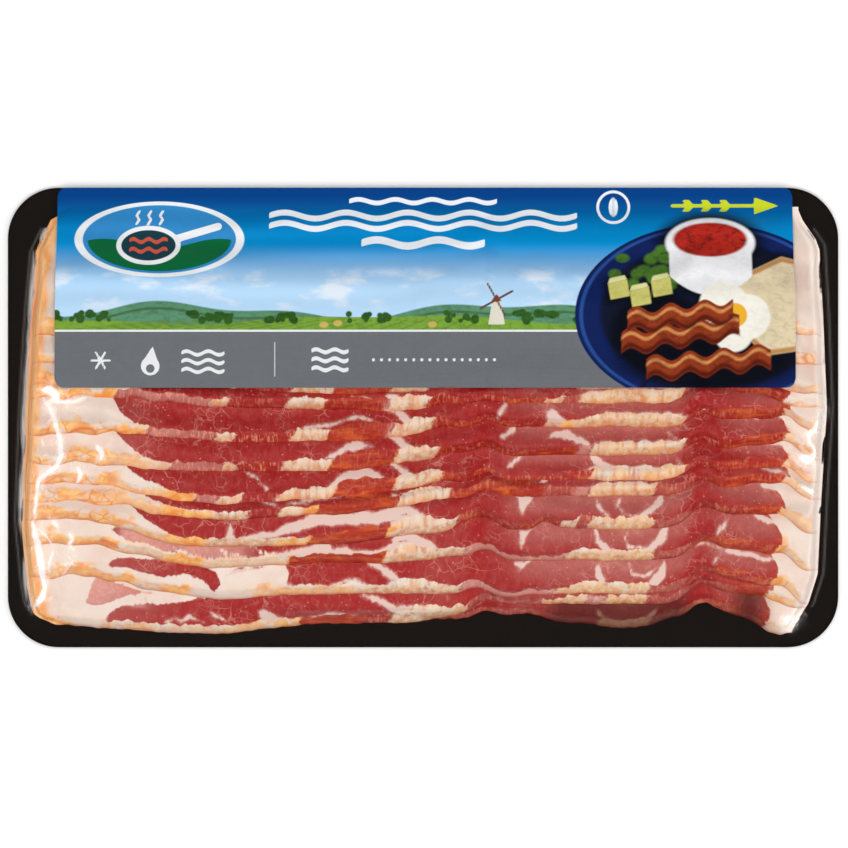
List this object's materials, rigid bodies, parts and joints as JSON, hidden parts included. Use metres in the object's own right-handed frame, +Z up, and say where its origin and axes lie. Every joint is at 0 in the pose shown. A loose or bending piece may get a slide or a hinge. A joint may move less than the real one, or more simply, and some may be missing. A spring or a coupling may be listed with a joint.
{
  "type": "bacon pack",
  "caption": "Flat pack of shingled sliced bacon under clear vacuum film on a stiff black backing board, with a printed label along one long edge.",
  "frame": {"origin": "middle of the backing board's underside, on the surface that the pack lies on", "axes": "+X along the slices and the board's long side, +Y towards the board's long edge that the label reaches, +Z up out of the clear side"},
  "size_m": [0.27, 0.1494, 0.023],
  "materials": {
    "board": "coated black board, satin, under clear film",
    "bacon": "cured pork, moist, red lean and cream fat, under clear tight film",
    "label": "printed label film, semi-gloss"
  },
  "bodies": {
    "root": {"backing_board": "board", "sealed_bacon": "bacon", "label": "label"}
  },
  "joints": []
}
